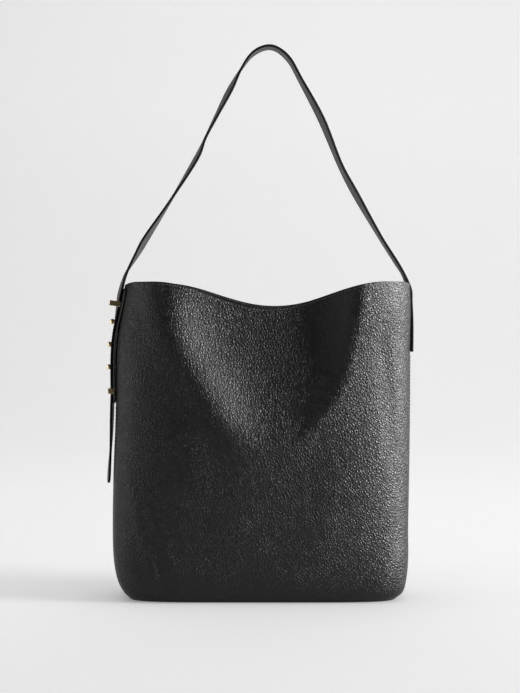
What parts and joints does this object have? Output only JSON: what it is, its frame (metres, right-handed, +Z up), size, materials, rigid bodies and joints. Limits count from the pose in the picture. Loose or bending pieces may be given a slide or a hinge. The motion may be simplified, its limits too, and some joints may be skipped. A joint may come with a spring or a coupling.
{
  "type": "diaper bag",
  "caption": "Open-topped leather bucket tote used as a diaper bag, with a studded adjustable shoulder strap, a lined inside, a zip pocket and a divided slip pocket.",
  "frame": {"origin": "on the floor under the middle of the flat base, in the plane of the side seams", "axes": "+Z up, front of the bag towards -Y, studded side towards -X"},
  "size_m": [0.352, 0.125, 0.6308],
  "materials": {
    "pebbled_leather": "pebbled satin",
    "strap_leather": "satin, edge painted",
    "edge_leather": "suede side out",
    "gold_hardware": "polished",
    "dark_steel": "satin",
    "lining_cloth": "twill",
    "pocket_cloth": "plain weave",
    "zip_tape": "herringbone weave",
    "base_stiffener": "matt fibreboard"
  },
  "bodies": {
    "bag_body": {"front_panel": "pebbled_leather", "back_panel": "pebbled_leather", "base_panel": "pebbled_leather", "base_board": "base_stiffener", "base_lining": "lining_cloth", "front_facing": "strap_leather", "back_facing": "strap_leather", "front_lining": "lining_cloth", "back_lining": "lining_cloth", "stud_tab": "strap_leather", "stud_backing": "edge_leather", "strap_studs": "gold_hardware", "stud_nuts": "gold_hardware", "upper_keeper": "gold_hardware", "lower_keeper": "gold_hardware", "strap_run": "strap_leather", "strap_sewn_end": "strap_leather", "sewn_end_backing": "edge_leather", "snap_socket": "gold_hardware", "snap_stud": "gold_hardware", "snap_washers": "dark_steel", "zip_welt": "strap_leather", "zip_tapes": "zip_tape", "zip_teeth": "gold_hardware", "zip_stops": "gold_hardware", "zip_pocket": "pocket_cloth", "slip_pocket": "pocket_cloth", "slip_pocket_binding": "strap_leather"},
    "shoulder_strap": {"strap_handle": "strap_leather"},
    "strap_tail": {"strap_tail": "strap_leather"},
    "zip_slider": {"zip_slider": "gold_hardware"},
    "zip_pull": {"zip_pull": "gold_hardware"}
  },
  "joints": [
    {"name": "strap_tip", "type": "hinge", "parent": "bag_body", "child": "shoulder_strap", "pos_m": [0, 0, 0.37], "axis": [1, 0, 0], "range_deg": [-90, 90]},
    {"name": "tail_swing", "type": "hinge", "parent": "bag_body", "child": "strap_tail", "pos_m": [-0.17057, 0, 0.2308], "axis": [0, 1, 0], "range_deg": [-1, 90]},
    {"name": "zip_travel", "type": "slide", "parent": "bag_body", "child": "zip_slider", "axis": [1, 0, 0], "range_m": [0, 0.16]},
    {"name": "pull_swing", "type": "hinge", "parent": "zip_slider", "child": "zip_pull", "pos_m": [-0.0805, 0.041, 0.228], "axis": [-1, 0, 0], "range_deg": [0, 160]}
  ]
}
